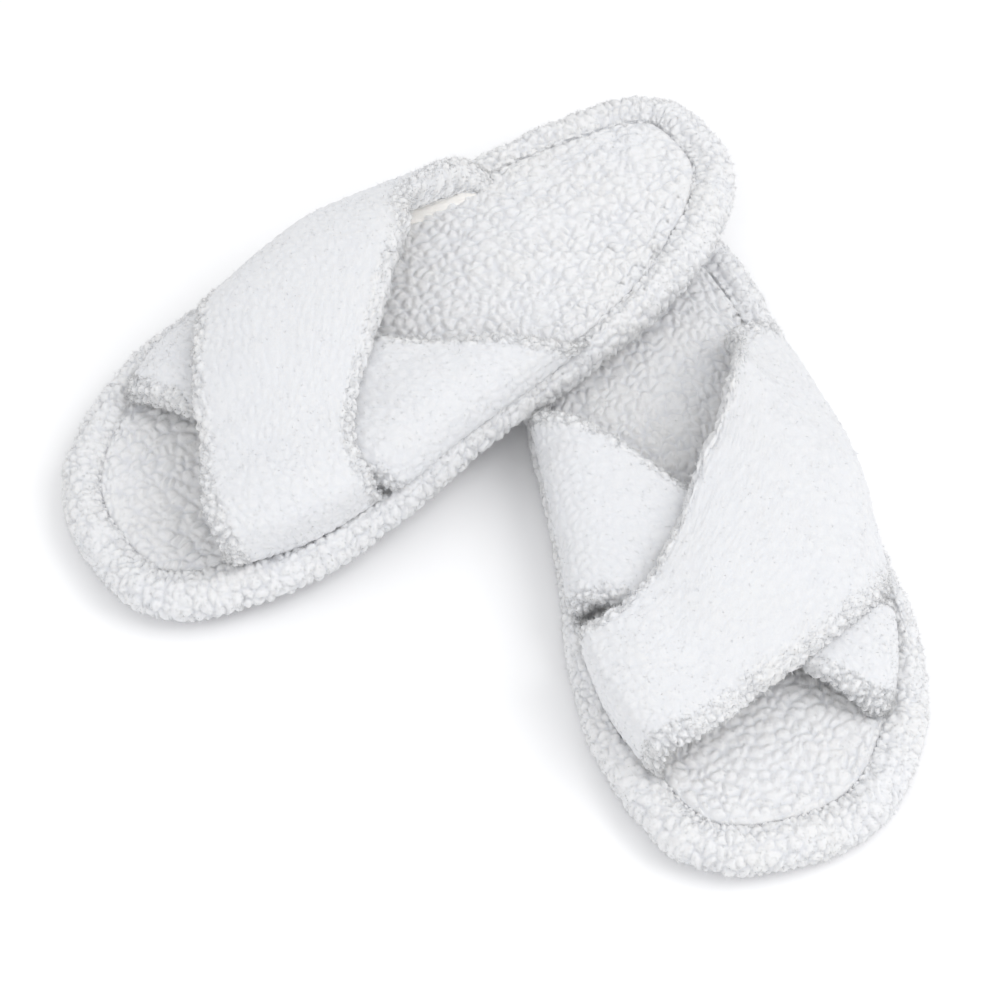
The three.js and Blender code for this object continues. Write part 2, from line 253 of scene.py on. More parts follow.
def grid_faces(count_u, count_v, wrap_u, wrap_v):
    """Corner numbers of a grid's quads, wound so that along crossed with round faces out."""
    number = np.arange(count_u * count_v).reshape(count_u, count_v)
    if wrap_u:
        number = np.concatenate([number, number[:1]], axis=0)
    if wrap_v:
        number = np.concatenate([number, number[:, :1]], axis=1)
    quads = [number[:-1, :-1], number[1:, :-1], number[1:, 1:], number[:-1, 1:]]
    return np.stack(quads, axis=-1).reshape(-1, 4)


def capped_faces(count_u, count_v):
    """Faces of a tube: its quads, and one face over each end."""
    end = np.arange(count_v)[None]
    return [grid_faces(count_u, count_v, False, True), end, (end + (count_u - 1) * count_v)[:, ::-1]]


# %% [markdown]
# ## Loose fibres
# A pile has no hard edge: single fibres stand out of it and catch the light. Blender has hair, but it does not
# travel with a mesh to other programs. Here each fibre is a spike with three sides, thinner than a pencil
# line, rooted at random where the pile shows, and leaning a random way off the surface.

# %% Fibres
FIBRE_RADIUS, FIBRE_LEAN, SHORTEST_FIBRE = 0.11, 0.6, 0.45


def fibres(grid, normal, chance, count, length, seed):
    """Points (count, 4, 3) of spikes: three round a root chosen by chance, and a tip along the leaning
    normal."""
    rng = np.random.default_rng(seed)
    pick = rng.choice(chance.size, count, p=chance.ravel() / chance.sum())
    root, lean = grid.reshape(-1, 3)[pick], rng.normal(size=(count, 3))
    way = unit(normal.reshape(-1, 3)[pick] + FIBRE_LEAN * lean)
    side = unit(np.cross(way, lean))
    other = np.cross(way, side)
    angle = np.radians([0, 120, 240])[None, :, None]
    round_root = np.cos(angle) * side[:, None] + np.sin(angle) * other[:, None]
    ring = root[:, None] + FIBRE_RADIUS * round_root
    tip = root + way * length * rng.uniform(SHORTEST_FIBRE, 1, (count, 1))
    return np.concatenate([ring, tip[:, None]], axis=1)


def fibre_faces(first, count):
    """Three sides and a base for each spike, numbered from the first."""
    sides = np.array([[0, 2, 1], [0, 1, 3], [1, 2, 3], [2, 0, 3]])
    return (first + 4 * np.arange(count)[:, None, None] + sides).reshape(-1, 3)


# %% [markdown]
# ## Where each slipper stands
# The flat slipper's frame is the model's frame. The leaning one is its mirror image, turned and laid on its
# heel. The turn isn't repeated here as numbers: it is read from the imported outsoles, whose corner points are
# the same in both, so the rigid turn from one set to the other is the pose.

# %% Pose of each slipper


def corners_of(node):
    """A node's distinct corner points in the model's frame, in mm."""
    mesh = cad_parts[node].data
    points = np.empty(3 * len(mesh.vertices))
    mesh.vertices.foreach_get("co", points)
    return np.unique(np.round(points.reshape(-1, 3) / MM, 3), axis=0)


def axes_of(points):
    """Mean and principal axes of a set of points, each axis towards the side with the longer tail."""
    centre = points.mean(axis=0)
    axes = np.linalg.svd(points - centre, full_matrices=False)[2]
    tails = ((points - centre) @ axes.T) ** 3
    return centre, axes * np.sign(tails.sum(axis=0))[:, None]


def leaning_pose():
    """Turn and shift that take the left slipper's own frame, mirrored, to the right slipper."""
    mirror = np.diag([-1.0, 1.0, 1.0])
    centre_a, axes_a = axes_of(corners_of("left_outsole") @ mirror)
    centre_b, axes_b = axes_of(corners_of("right_outsole"))
    turned = axes_b.T @ axes_a
    return turned @ mirror, centre_b - turned @ centre_a


POSES = {"left": (np.eye(3), np.zeros(3)), "right": leaning_pose()}
print("leaning turn:", np.round(POSES["right"][0], 4).tolist(), "shift:", np.round(POSES["right"][1], 2))

# %% Meshes in place


def new_piece(name, side, points, faces, heights=None):
    """A smooth mesh from points in mm and arrays of faces. The mirrored side's faces are turned round, so
    that they still point outwards."""
    turned, shift = POSES[side]
    corners = [face[:: -1 if side == "right" else 1] for group in faces for face in group.tolist()]
    mesh = bpy.data.meshes.new(name)
    mesh.from_pydata((points.reshape(-1, 3) @ turned.T + shift) * MM, [], corners)
    mesh.polygons.foreach_set("use_smooth", np.ones(len(mesh.polygons), bool))
    # The kept pile height sets the painted crevice shade in the fleece finishes.
    if heights is not None:
        attribute = mesh.attributes.new("pile", "FLOAT", "POINT")
        attribute.data.foreach_set("value", heights.astype(np.float32).ravel())
    piece = bpy.data.objects.new(name, mesh)
    bpy.context.scene.collection.objects.link(piece)
    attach(piece, f"{side}_slipper")
    return piece


def fleece_piece(name, side, grid, faces, height, wraps, chance, count, length, seed, extra=None):
    """A fleece mesh: the grid, any extra points, and fibres rooted on the grid where there is a chance of
    them."""
    sign = -1 if wraps == (True, True) else 1
    spikes = fibres(grid, sign * normals_of(grid, *wraps), chance, count, length, seed)
    body = grid.reshape(-1, 3) if extra is None else np.concatenate([grid.reshape(-1, 3), extra])
    points = np.concatenate([body, spikes.reshape(-1, 3)])
    # Fibres keep height 1, the tip colour, with no painted crevice shade.
    heights = np.full(len(points), 1.0)
    heights[: height.size] = height.ravel()
    return new_piece(name, side, points, [*faces, fibre_faces(len(body), count)], heights)


def finish_piece(piece, side, nodes, material):
    """Hides the modelled nodes that a piece stands in for, and gives the piece its finish."""
    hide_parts(*[f"{side}_{node}" for node in nodes])
    piece.data.materials.append(material)
    print(f"{piece.name}: {len(piece.data.polygons)} faces")
    return piece


# %% [markdown]
# ## Shader maths as expressions
# A node tree is easier to read as a formula. This small class wraps a socket, so that adding or multiplying two
# of them adds the Math node that does it.

# %% Node expressions


class Value:
    """A socket in a finish's node tree. Arithmetic on numbers adds Math nodes."""

    def __init__(self, finish, socket):
        self.finish, self.socket = finish, socket

    def maths(self, operation, first, second=0.0):
        return self.finish.node("ShaderNodeMath", {"operation": operation}, {0: first, 1: second})

    def __add__(self, other):
        return self.maths("ADD", self, other)

    def __sub__(self, other):
        return self.maths("SUBTRACT", self, other)

    def __rsub__(self, other):
        return self.maths("SUBTRACT", other, self)

    def __mul__(self, other):
        return self.maths("MULTIPLY", self, other)

    __radd__, __rmul__ = __add__, __mul__

    def clamped(self):
        """The number limited to 0..1."""
        return self.maths("MINIMUM", self.maths("MAXIMUM", self, 0.0), 1.0)

    def blend(self, low, high):
        """A colour between two, mixed by this number."""
        sockets = {"Factor": self, "A": low, "B": high}
        return self.finish.node("ShaderNodeMix", {"data_type": "RGBA"}, sockets, "Result")


class Finish:
    """A Principled material whose pattern reads the object's own coordinates."""

    def __init__(self, name, constants):
        self.material = bpy.data.materials.new(name)
        self.material.use_nodes = True
        self.tree = self.material.node_tree
        self.shader = self.tree.nodes["Principled BSDF"]
        for socket, value in constants.items():
            self.shader.inputs[socket].default_value = value
        self.place = self.node("ShaderNodeTexCoord", {}, {}, "Object")

    def feed(self, target, value):
        """Links a socket, or sets its own value."""
        if isinstance(value, Value):
            self.tree.links.new(value.socket, target)
        else:
            target.default_value = value

    def node(self, kind, settings, inputs, output=0):
        """One output of a new node: its settings first, then the values or links of its sockets."""
        made = self.tree.nodes.new(kind)
        for key, value in settings.items():
            setattr(made, key, value)
        for key, value in inputs.items():
            self.feed(made.inputs[key], value)
        return Value(self, made.outputs[output])

    def noise(self, size, detail=3.0):
        """Noise from 0 to 1 with blotches of one size, in mm."""
        sockets = {"Vector": self.place, "Scale": 1 / (size * MM), "Detail": detail}
        return self.node("ShaderNodeTexNoise", {}, sockets, 0)

    def curls(self, size):
        """Distance to scattered points one size apart, in mm."""
        sockets = {"Vector": self.place, "Scale": 1 / (size * MM)}
        return self.node("ShaderNodeTexVoronoi", {}, sockets, "Distance")

    def attribute(self, name):
        """A number kept on the mesh."""
        return self.node("ShaderNodeAttribute", {"attribute_name": name}, {}, "Fac")

    def colour(self, value):
        """Feeds the base colour."""
        self.feed(self.shader.inputs["Base Color"], value)

    def bump(self, height, depth, strength=1.0):
        """Relief too fine for the mesh, with its full depth in mm."""
        sockets = {"Height": height, "Distance": depth * MM, "Strength": strength}
        self.feed(self.shader.inputs["Normal"], self.node("ShaderNodeBump", {}, sockets, "Normal"))


# %% [markdown]
# ## Finishes
# Undyed fleece is an almost white fibre that lets light in. Shade is painted into the pile: the nubs are
# painted lightest at their tips and the crevices a cool grey as painted shade, and fine fibres break up the
# surface at under a millimetre. Sheen gives the pale halo that a pile has at grazing angles, and a little
# scattering under the surface softens the shadows.

# %% Fleece and lining
STRAND_SIZE, STRAND_CURL_SIZE, PATCH_SIZE = 0.8, 1.4, 26.0
WARMTH = (1.0, 0.99, 0.965)


def fleece_with_painted_shade(name, tip, crevice):
    """Pile colour from crevice to tip by the height kept on the mesh, with drifting tone and fine fibres. The
    crevice colour is painted shade, and the tip colour is the fleece's own. The height is stretched and shifted
    by a fine noise, and limited to 0..1."""
    finish = Finish(name, {
        "Roughness": 1.0,
        "Specular IOR Level": 0.1,
        "Sheen Weight": 0.3,
        "Sheen Roughness": 0.5,
        "Subsurface Weight": 0.3,
        "Subsurface Radius": (0.003, 0.0028, 0.0026),
    })
    strands = finish.noise(STRAND_SIZE, 4.0)
    depth = (finish.attribute("pile") * 1.8 + 0.1 + (strands - 0.5) * 0.5).clamped()
    patches = (finish.noise(PATCH_SIZE, 2.0) * 1.6 - 0.4).clamped()
    warmer = (*(part * warmth for part, warmth in zip(tip, WARMTH)), 1)
    # Painted shade: the colour falls from the tip colour to the darker crevice colour as the pile height falls.
    finish.colour(patches.blend(depth.blend(crevice, tip), depth.blend(crevice, warmer)))
    finish.bump(strands * 0.7 + finish.curls(STRAND_CURL_SIZE) * 0.3, depth=0.5, strength=0.4)
    return finish.material


# Each fleece's second colour is the painted shade of its crevices.
FLEECE = fleece_with_painted_shade("sherpa_fleece", (0.77, 0.775, 0.79, 1), (0.69, 0.7, 0.725, 1))
LINING = fleece_with_painted_shade("brushed_lining", (0.9, 0.885, 0.865, 1), (0.83, 0.81, 0.785, 1))


# %% [markdown]
# The sole's layers are foam, pressed board and a moulded sheet. None is a single tone: foam has open cells,
# board has fibres and a moulded sheet has a fine mould grain. One recipe with its own grain size does all.

# %% Foam, board, sheet and thread


def plain_finish(name, light, dark, roughness, grain, depth):
    """Two close tones mixed by a fine grain, with the same grain as relief."""
    finish = Finish(name, {"Roughness": roughness})
    fine = finish.noise(grain, 5.0)
    finish.colour((fine * 1.4 - 0.2).clamped().blend(dark, light))
    finish.bump(fine, depth, 0.6)
    return finish.material


FOAM = plain_finish("cell_foam", (0.9, 0.89, 0.85, 1), (0.78, 0.77, 0.72, 1), 0.9, 0.8, 0.3)
BOARD = plain_finish("fibre_board", (0.72, 0.62, 0.46, 1), (0.52, 0.43, 0.3, 1), 0.85, 1.5, 0.2)
RUBBER = plain_finish("outsole_sheet", (0.7, 0.7, 0.72, 1), (0.56, 0.56, 0.59, 1), 0.6, 1.6, 0.15)
THREAD = plain_finish("sewing_thread", (0.6, 0.6, 0.62, 1), (0.4, 0.4, 0.42, 1), 0.6, 0.4, 0.1)
print("finishes:", [m.name for m in bpy.data.materials])

# %% [markdown]
# ## The rand
# A band of fleece is sewn to the edge of the footbed, turned over the rim, pulled down the side and folded
# under the platform. A swept profile with a displacement modifier would stretch the nubs round the toe.
# Here its section is a smooth loop through a few control points whose inset follows the seam, and the nubs
# are laid out by true length along and round it. On the wall they are taller than wide, as the pull makes them.

# %% Smooth loops


def smooth_loop(controls, counts):
    """A closed curve through control points, each stretch a Catmull-Rom cubic with its own number of steps."""
    before, after = np.roll(controls, 1, axis=-2), np.roll(controls, -1, axis=-2)
    beyond = np.roll(controls, -2, axis=-2)
    parts = []
    for k, count in enumerate(counts):
        t = (np.arange(count) / count)[:, None]
        p0, p1, p2, p3 = (v[..., k, None, :] for v in (before, controls, after, beyond))
        bend = 2 * p0 - 5 * p1 + 4 * p2 - p3
        twist = 3 * p1 - p0 - 3 * p2 + p3
        parts.append(p1 + 0.5 * t * (p2 - p0 + t * (bend + t * twist)))
    return np.concatenate(parts, axis=-2)


# %% The rand's section
RAND_STEP = 0.68
FOLD_INSET, FOLD_WIDTH, RAND_PILE = 3.4, 12.0, 4.6
SECTION_STEPS = [3, 4, 6, 7, 6, 8, 7, 7, 7, 4, 2, 4, 3]


def rand_section(station):
    """Inset and height of the rand's control points, from inside its fold, up the seam, over and down."""
    seam = seam_inset(station)
    crown = seam * 0.55 + 0.6
    level = np.ones_like(seam)
    rows = [
        (RAND_PILE + 0.7 * level, PLATFORM_TOP - 1.0),
        (seam + 1.2, SOCK_BOTTOM - 1.0),
        (seam + 1.0, SOCK_BOTTOM + 1.6),
        (seam - 0.6, RIM_TOP - 1.6),
        (crown, RIM_TOP - 0.3),
        (crown * 0.45, RIM_TOP - 2.0),
        (0.4 * level, RIM_TOP * 0.72),
        (0.0 * level, RIM_TOP * 0.5),
        (0.9 * level, RIM_TOP * 0.31),
        (FOLD_INSET * level, FOLD_BOTTOM + 0.1),
        (FOLD_INSET + FOLD_WIDTH * level, FOLD_BOTTOM + 0.2),
        (FOLD_INSET + FOLD_WIDTH * level, FOLD_BOTTOM + 1.0),
        (RAND_PILE + 1.5 * level, FOLD_BOTTOM + 1.1),
    ]
    return np.stack([np.stack([a, b * level], axis=-1) for a, b in rows], axis=-2)


# %% The rand as a grid
NUB = 3.6
RAND_SEEDS = {"left": 100, "right": 700}
RAND_RELIEF, RAND_SWELL = 1.3, 0.6
RAND_FIBRES, RAND_FIBRE_LENGTH = 14000, 1.7
SEAM_RUN, TURN_RUN, FOLD_RUN = 5.0, 18.0, 24.0
WALL_STRETCH = 0.9


def make_rand(side):
    """A ring of sections round the outline, with pile relief along its outward normal. The relief starts
    where the run round the section leaves the seam, and ends where it meets the fold."""
    seed = RAND_SEEDS[side]
    count = round(PERIMETER / RAND_STEP)
    station = np.arange(count) / count
    loop = smooth_loop(rand_section(station), SECTION_STEPS)
    grid = np.concatenate([rim_point(station[:, None], loop[..., 0]), loop[..., 1:]], axis=-1)
    run = length_round(grid).mean(axis=0)
    before_fold = run[-1] - FOLD_RUN - run
    wall = smooth((run - TURN_RUN) / 6) * smooth(before_fold / 4)
    nubs_along = round(PERIMETER / NUB)
    a = station[:, None] * nubs_along + 0 * run
    b = np.cumsum(np.gradient(run) / (1 + WALL_STRETCH * wall))[None, :] / NUB + 0 * a
    height = pile(a, b, seed, nubs_along)
    swell = drift(a / 3, b / 3, seed + 40, nubs_along // 3)
    shown = smooth((run - SEAM_RUN) / 4) * smooth(before_fold / 6)
    relief = (RAND_RELIEF * (height - PILE_MEAN) + RAND_SWELL * swell) * shown
    grid = grid - normals_of(grid, True, True) * relief[..., None]
    faces = [grid_faces(*grid.shape[:2], True, True)[:, ::-1]]
    chance = shown + 0 * a
    piece = fleece_piece(
        f"{side}_rand_fleece", side, grid, faces, height, (True, True),
        chance, RAND_FIBRES, RAND_FIBRE_LENGTH, seed,
    )
    return finish_piece(piece, side, ["rand_wrap"], FLEECE)


for side in POSES:
    make_rand(side)

# %% [markdown]
# ## The footbed
# The sock is a cushion of fleece that rounds down into the seam. A square grid is bent onto the shape of the
# footbed, so that there is no pole in the middle: the square becomes a disc, and the disc is stretched out
# to the seam. The pile is laid out in plan, and it is trodden a little flatter in places.

# %% The footbed as a grid
SOCK_STEP = 0.64
SOCK_SEEDS = {"left": 300, "right": 900}
SOCK_WIDTH, SOCK_LENGTH = 104, 252
SOCK_EDGE, SOCK_ROUNDING = 0.35, 5.0
TREAD_SIZE, TREAD_DEPTH = 34.0, 0.7
SOCK_RELIEF = 1.35
SOCK_FIBRES, SOCK_FIBRE_LENGTH = 8000, 1.2


def disc_from_square(count_u, count_v):
    """A square grid bent onto the unit disc: x times the root of one less half y squared, and the same for
    y."""
    u, v = np.meshgrid(np.linspace(-1, 1, count_u), np.linspace(-1, 1, count_v), indexing="ij")
    return u * np.sqrt(1 - v * v / 2), v * np.sqrt(1 - u * u / 2)


def border_of(count_u, count_v):
    """Corner numbers round the edge of a grid, clockwise seen from above."""
    number = np.arange(count_u * count_v).reshape(count_u, count_v)
    return np.concatenate([number[0, :-1], number[:-1, -1], number[-1, :0:-1], number[:0:-1, 0]])


def make_footbed(side):
    """A cushion: height rises from the seam as a quarter round, plus pile, over a flat underside."""
    seed = SOCK_SEEDS[side]
    x, y = disc_from_square(round(SOCK_WIDTH / SOCK_STEP), round(SOCK_LENGTH / SOCK_STEP))
    radius = np.hypot(x, y)
    station = np.arctan2(-x, y) / (2 * np.pi) % 1
    edge = rim_point(station, seam_inset(station) + SEAM_WIDTH * SOCK_EDGE)
    plan = edge * radius[..., None]
    inwards = (1 - radius) * np.linalg.norm(edge, axis=-1)
    rounding = np.sqrt(np.clip(1 - (1 - np.clip(inwards / SOCK_ROUNDING, 0, 1)) ** 2, 0, 1))
    a, b = plan[..., 0] / NUB, plan[..., 1] / (NUB * 1.12)
    height = pile(a, b, seed)
    tread = drift(plan[..., 0] / TREAD_SIZE, plan[..., 1] / TREAD_SIZE, seed + 50)
    top = SOCK_BOTTOM + (SOCK_TOP - SOCK_BOTTOM + TREAD_DEPTH * tread) * rounding
    z = top + SOCK_RELIEF * (height - PILE_MEAN) * smooth(inwards / 1.5)
    grid = np.concatenate([plan, z[..., None]], axis=-1)
    border = border_of(*grid.shape[:2])
    centre = np.full_like(border, radius.size)
    under = np.stack([border, np.roll(border, -1), centre], axis=1)
    faces = [grid_faces(*grid.shape[:2], False, False), under]
    chance = 0.1 + smooth(inwards / 4)
    piece = fleece_piece(
        f"{side}_footbed_fleece", side, grid, faces, height, (False, False),
        chance, SOCK_FIBRES, SOCK_FIBRE_LENGTH, seed, np.array([[0.0, 0.0, SOCK_BOTTOM]]),
    )
    finish_piece(piece, side, ["sock"], FLEECE)
    return piece


for side in POSES:
    make_footbed(side)

# %% [markdown]
# ## Stitches in the seam
# A lockstitch runs round the bottom of the groove between the footbed and the rim. On a real slipper only
# the top of each stitch shows, sunk in the pile, so each is a short bead that dips at both ends into the
# layer below.

# %% Seam stitches
STITCH_PITCH, STITCH_LENGTH, STITCH_RADIUS = 4.2, 3.1, 0.42
STITCH_RINGS, STITCH_SIDES = 7, 8
STITCH_PLACE, STITCH_SINK, STITCH_RISE = 0.42, 0.05, 0.5


def make_stitches(side):
    """Beads along the seam: a circle swept along each stitch, whose radius and height follow the root of
    one less the distance from its middle squared."""
    count = round(PERIMETER / STITCH_PITCH)
    along = np.linspace(-0.5, 0.5, STITCH_RINGS)
    station = np.arange(count)[:, None] / count + along * STITCH_LENGTH / PERIMETER
    angle = np.linspace(0, 2 * np.pi, STITCH_SIDES, endpoint=False)
    swell = np.sqrt(np.clip(1 - (1.96 * along) ** 2, 0, 1))[None, :, None]
    middle = (seam_inset(station) + SEAM_WIDTH * STITCH_PLACE)[..., None]
    inset = middle + STITCH_RADIUS * swell * np.cos(angle)
    plan = rim_point(station[..., None] + 0 * angle, inset)
    z = SOCK_BOTTOM + STITCH_SINK + (STITCH_RISE + STITCH_RADIUS * np.sin(angle)) * swell + 0 * inset
    points = np.concatenate([plan, z[..., None]], axis=-1)
    quads, *caps = (group[:, ::-1] for group in capped_faces(STITCH_RINGS, STITCH_SIDES))
    first = STITCH_RINGS * STITCH_SIDES * np.arange(count)[:, None, None]
    faces = [(first + quads).reshape(-1, 4), (first + np.concatenate(caps)).reshape(-1, STITCH_SIDES)]
    piece = new_piece(f"{side}_seam_stitches", side, points, faces)
    return finish_piece(piece, side, ["seam_thread"], THREAD)


for side in POSES:
    make_stitches(side)

# %% [markdown]
# ## The straps
# Each strap is a flat padded band sewn into the seam at both ends. Cloth simulation could drape it, but the
# arch it would find can be written down, so the strap is worked out directly. Its middle layer is a low arch
# over the foot, and its edges wander forwards or backwards on the way from one side to the other. A point on
# it has three numbers: the share of the way along, the distance across, and the height above the middle layer.
# The upper strap is lifted over the lower one, its middle stands out and its edges sag.

# %% Seats and settling of the straps
STRAP_THICKNESS, TAB_THICKNESS, STRAP_GAP = 8.0, 1.8, 0.9
ARCH_FULLNESS, ARCH_LEAN = 2.4, 3.0
INSTEP_Y, TOE_Y = -60.0, 90.0
SEATS = {
    "over": {"rear": (-63, 40), "front": (46, 97)},
    "under": {"rear": (50, -50), "front": (90, 36)},
}
NOWHERE = (0.0, 0.5)


def settled(rear, front, dome, hug, **rest):
    """How a strap lies, in mm: bow and curl of its edges, rise of its middle, and bulge over the inner rim.
    The rest are sizes and places of the rear edge's hook and sag and the front edge's droop, the lean of the
    sagging edge, and the puff of the lining at the outer side."""
    plain = {"hook": NOWHERE, "sag": NOWHERE, "droop": NOWHERE, "tuck": 0.0, "puff": 0.0}
    return {"rear": rear, "front": front, "dome": dome, "hug": hug, **plain, **rest}


SETTLED = {
    "left": {
        "arch": (25, 14),
        "over": settled(
            (9, -24), (12, -6), 4.0, 6.5,
            hook=(-8.0, 0.42), sag=(9.0, 0.22), droop=(6.0, 0.14), tuck=7.0, puff=1.0,
        ),
        "under": settled((14, 15), (6, 11), 1.2, 8.0),
    },
    "right": {
        "arch": (20, 15),
        "over": settled(
            (13, -20), (10, -8), 4.5, 6.5,
            hook=(18.0, 0.25), sag=(4.5, 0.13), droop=(6.0, 0.14), puff=5.0,
        ),
        "under": settled((20, 7), (14, 3), 1.2, 8.0),
    },
}
BELL_WIDTH = 0.12


def bell(size_and_place, s):
    """A bell curve of one size at one share of the strap's length: size times e to minus a square."""
    size, place = size_and_place
    return size * np.exp(-(((s - place) / BELL_WIDTH) ** 2))


def edge_y(side, strap, edge, s):
    """Place along the foot of a strap's edge at share s of its length: a straight run, a bow of one sine and
    a curl of two, and on the rear edge a bell-shaped hook where the strap leaves its outer wall."""
    (outer, inner), (bow, curl) = SEATS[strap][edge], SETTLED[side][strap][edge]
    hook = bell(SETTLED[side][strap]["hook"], s) if edge == "rear" else 0.0
    return outer + (inner - outer) * s + bow * np.sin(np.pi * s) + curl * np.sin(2 * np.pi * s) + hook


seam_line = rim_point(STATIONS, seam_inset(STATIONS) + SEAM_WIDTH / 2)
SEAM_SIDE = {}
for sign in (-1, 1):
    half = seam_line[(seam_line[:, 0] * sign > 0) & (np.abs(seam_line[:, 1]) < HALF_LENGTH - 20)]
    SEAM_SIDE[sign] = half[np.argsort(half[:, 1])]


def seam_x(y, sign):
    """Place across the foot of the seam's middle line, on the outer (-1) or inner (+1) side."""
    return np.interp(y, SEAM_SIDE[sign][:, 1], SEAM_SIDE[sign][:, 0])


# %% A point on a strap
# Where each change starts, and how far it runs, by distance from the seam in mm.
TOP_SWELL, LINING_SWELL = (1.5, 8.0), (0.5, 4.5)
LET_GO = (4.5, 6.0)
HUG_START, HUG_END = (0.5, 5.0), (9.0, 20.0)
PUFF_START, PUFF_END = (0.5, 5.0), (10.0, 16.0)


def risen(distance, start_and_run):
    """0 up to a start, and from there smoothly up to 1 along a run."""
    start, run = start_and_run
    return smooth((distance - start) / run)


def settled_offset(side, strap, s, share, from_seam, n):
    """How far a point lies off the middle layer, and how far it leans inwards. Its height n is scaled to the
    thickness there, which swells from the tab. To that come the lift of the upper strap and the dome, the hug
    over the inner rim, less the sag, the droop, and the puff of the lining."""
    lie = SETTLED[side][strap]
    swell = np.where(n > 0, risen(from_seam, TOP_SWELL), risen(from_seam, LINING_SWELL))
    thickness = TAB_THICKNESS + (STRAP_THICKNESS - TAB_THICKNESS) * swell
    free = risen(from_seam, LET_GO)
    lift = STRAP_THICKNESS + STRAP_GAP if strap == "over" else 0.0
    dome = lie["dome"] * (1 - share**2) * np.sin(np.pi * np.clip(s, 0, 1)) ** 0.5
    inner_end = smooth((s - 0.45) / 0.25)
    hug = lie["hug"] * inner_end * risen(from_seam, HUG_START) * (1 - risen(from_seam, HUG_END))
    rearward = smooth((0.2 - share) / 1.2) * free
    forward = smooth((share + 0.1) / 1.1) * free
    sag = bell(lie["sag"], s) * rearward + bell(lie["droop"], s) * forward
    tuck = bell((lie["tuck"], lie["sag"][1]), s) * rearward
    puff = lie["puff"] * risen(from_seam, PUFF_START) * (1 - risen(from_seam, PUFF_END)) * (s < 0.5)
    below = np.clip(-2 * n / STRAP_THICKNESS, 0, 1) * smooth((0.6 - share) / 0.6)
    return n * thickness / STRAP_THICKNESS + (lift + dome) * free + hug - sag - puff * below, tuck


def strap_point(side, strap, s, across, n):
    """A superellipse arch from seam to seam, moved along its own normal by the settled offset."""
    rear, front = edge_y(side, strap, "rear", s), edge_y(side, strap, "front", s)
    y = (rear + front) / 2 + across
    outer, inner = seam_x(y, -1), seam_x(y, 1)
    half_span = (inner - outer) / 2
    instep, toe = SETTLED[side]["arch"]
    height = toe + (instep - toe) * (TOE_Y - y) / (TOE_Y - INSTEP_Y)
    power = 2 / ARCH_FULLNESS
    cosine, sine = np.cos(np.pi * s), np.abs(np.sin(np.pi * s))
    rise = sine**power
    run = half_span * (1 - np.abs(cosine) ** power)
    x = (outer + inner) / 2 - np.sign(cosine) * (half_span - run) - ARCH_LEAN * rise
    z = TAB_BOTTOM + height * rise
    normal_x = -signed_power(cosine, 2 - power) / half_span
    normal_z = sine ** (2 - power) / height
    size = np.hypot(normal_x, normal_z)
    share = np.clip(2 * across / (front - rear), -1, 1)
    offset, tuck = settled_offset(side, strap, s, share, np.hypot(run, height * rise), n)
    return np.stack([x + tuck + offset * normal_x / size, y, z + offset * normal_z / size], axis=-1)


print("seam at the ball from", np.round(seam_x(60.0, -1), 1), "to", np.round(seam_x(60.0, 1), 1))

# %% [markdown]
# ### Sections
# The cover goes over the top, rolls round both edges and comes back a little way underneath, where the
# lining is stitched between its lips. Its section is one loop: the outside all round, and the inside back
# again. The lining and the foam are plain bands. A wider strap only moves the points of its section further
# apart, so the sections of two widths give those of all.

# %% Sections of the cover, the lining and the foam
TURN_UNDER, COVER_FLEECE = 5.5, 1.8
LIP_STEPS, ROLL_STEPS, FACE_STEPS = 8, 18, 130
SHOWN = 2 * LIP_STEPS + 1 + 2 * ROLL_STEPS + FACE_STEPS
ROLLS = (LIP_STEPS + ROLL_STEPS // 2, SHOWN - 1 - LIP_STEPS - ROLL_STEPS // 2)


def line(start, end, count):
    """Points from one place up to another, which is left out."""
    return np.linspace(start, end, count, endpoint=False)


def arc(middle, radius, start, end, count):
    """Points round a circle on the middle layer, by angle from the front, up to the last, which is left
    out."""
    angle = np.radians(np.linspace(start, end, count, endpoint=False))
    return np.stack([middle + radius * np.cos(angle), radius * np.sin(angle)], axis=-1)


def cover_loop(half):
    """Outside from the rear lip over the top to the front lip, then inside back, for a half width."""
    outside, inside = STRAP_THICKNESS / 2, STRAP_THICKNESS / 2 - COVER_FLEECE
    lip, edge = half - TURN_UNDER, half - outside
    return [
        line((-lip, -outside), (-edge, -outside), LIP_STEPS),
        arc(-edge, outside, 270, 90, ROLL_STEPS),
        line((-edge, outside), (edge, outside), FACE_STEPS),
        arc(edge, outside, 90, -90, ROLL_STEPS),
        line((edge, -outside), (lip, -outside), LIP_STEPS + 1),
        line((lip, -outside), (lip, -inside), 2),
        line((lip, -inside), (edge, -inside), 3),
        arc(edge, inside, -90, 90, 6),
        line((edge, inside), (-edge, inside), 16),
        arc(-edge, inside, 90, 270, 6),
        line((-edge, -inside), (-lip, -inside), 3),
        line((-lip, -inside), (-lip, -outside), 2),
    ]


def band_loop(inset, low, high, count):
    """A flat band between two heights, its edges an inset inside the strap's."""
    return lambda half: [
        line((inset - half, low), (inset - half, high), 2),
        line((inset - half, high), (half - inset, high), count),
        line((half - inset, high), (half - inset, low), 2),
        line((half - inset, low), (inset - half, low), count),
    ]


UNDERSIDE = -STRAP_THICKNESS / 2
lining_loop = band_loop(TURN_UNDER + 0.3, UNDERSIDE - 0.3, UNDERSIDE + COVER_FLEECE, 60)
foam_loop = band_loop(COVER_FLEECE + 1.8, -1.2, 0.8, 12)
print("points round a cover's section:", sum(len(part) for part in cover_loop(50)), "shown:", SHOWN)

# %% A strap's grid
NARROW, WIDE = 50, 60


